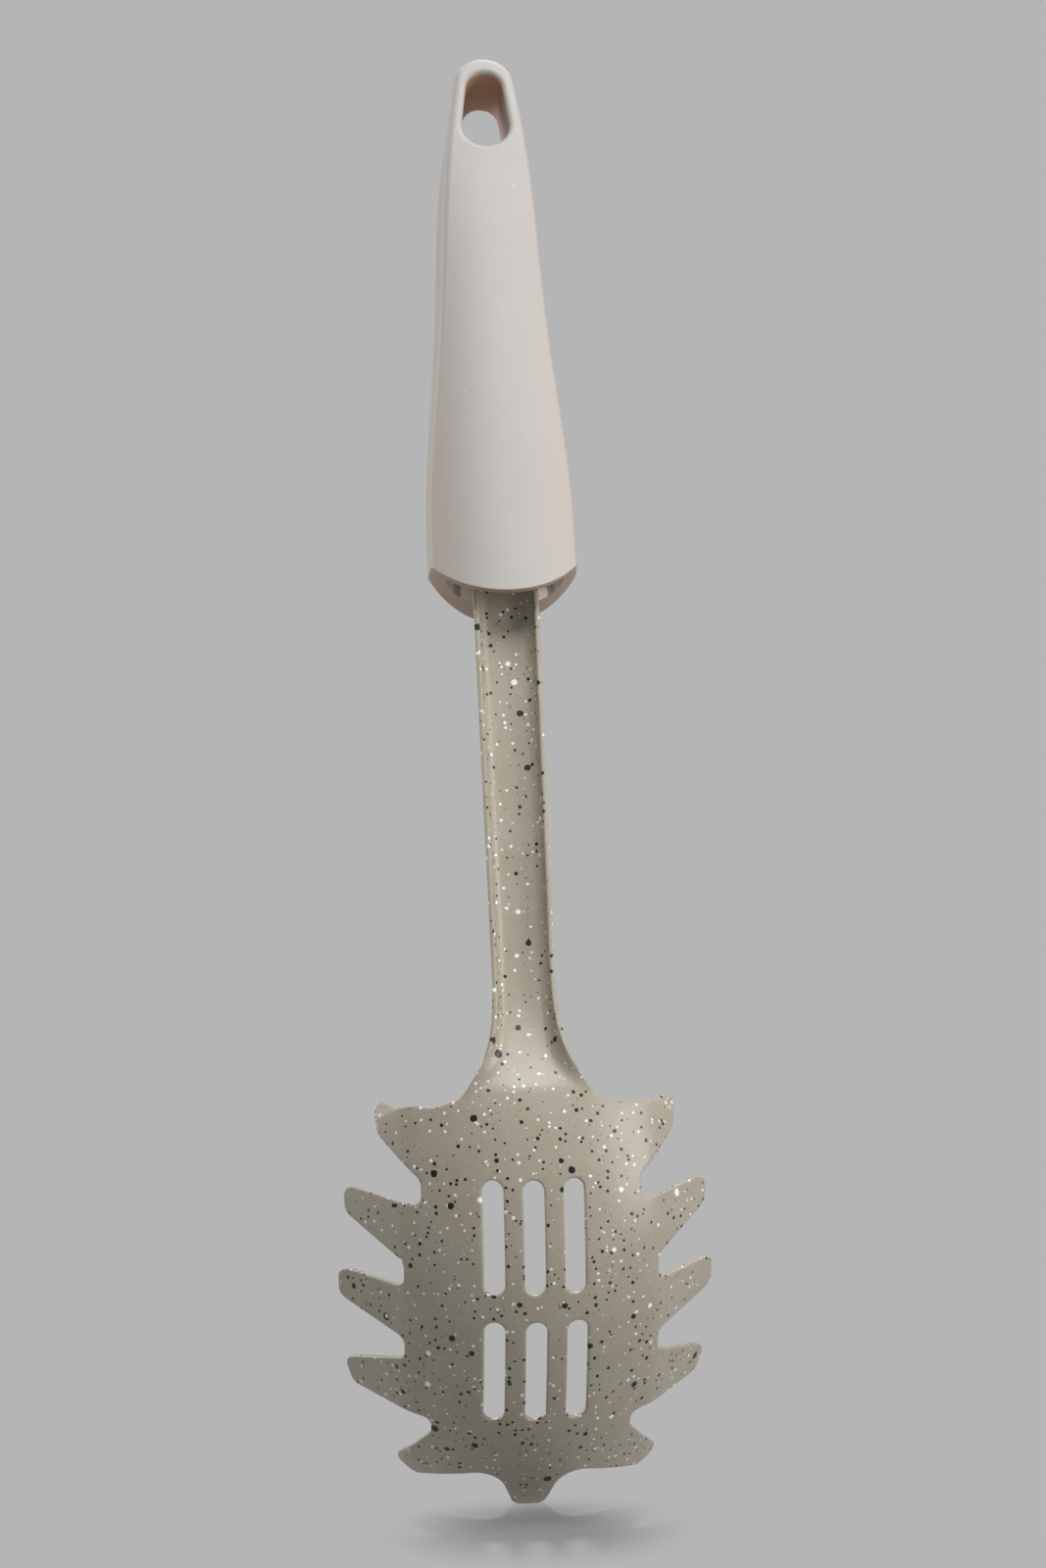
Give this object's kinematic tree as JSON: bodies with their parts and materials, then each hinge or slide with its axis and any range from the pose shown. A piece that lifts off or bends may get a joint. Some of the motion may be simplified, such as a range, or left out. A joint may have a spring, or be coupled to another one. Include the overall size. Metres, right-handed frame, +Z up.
{
  "type": "pasta server",
  "caption": "Pasta server with a toothed, slotted bowl pressed from coated sheet steel, a channel shank and a two-shell plastic handle with a hanging eye.",
  "frame": {"origin": "middle of the hanging eye, half way through the handle", "axes": "+Z up as it hangs in the picture, -Y the side the back of the bowl and the channel of the shank face, +X to the right seen from there"},
  "size_m": [0.0836, 0.108, 0.3346],
  "materials": {
    "head_coating": "satin speckled non-stick coating on sheet steel",
    "handle_plastic": "matt moulded plastic"
  },
  "bodies": {
    "root": {"server_head": "head_coating", "handle_back_shell": "handle_plastic", "handle_front_shell": "handle_plastic"}
  },
  "joints": []
}
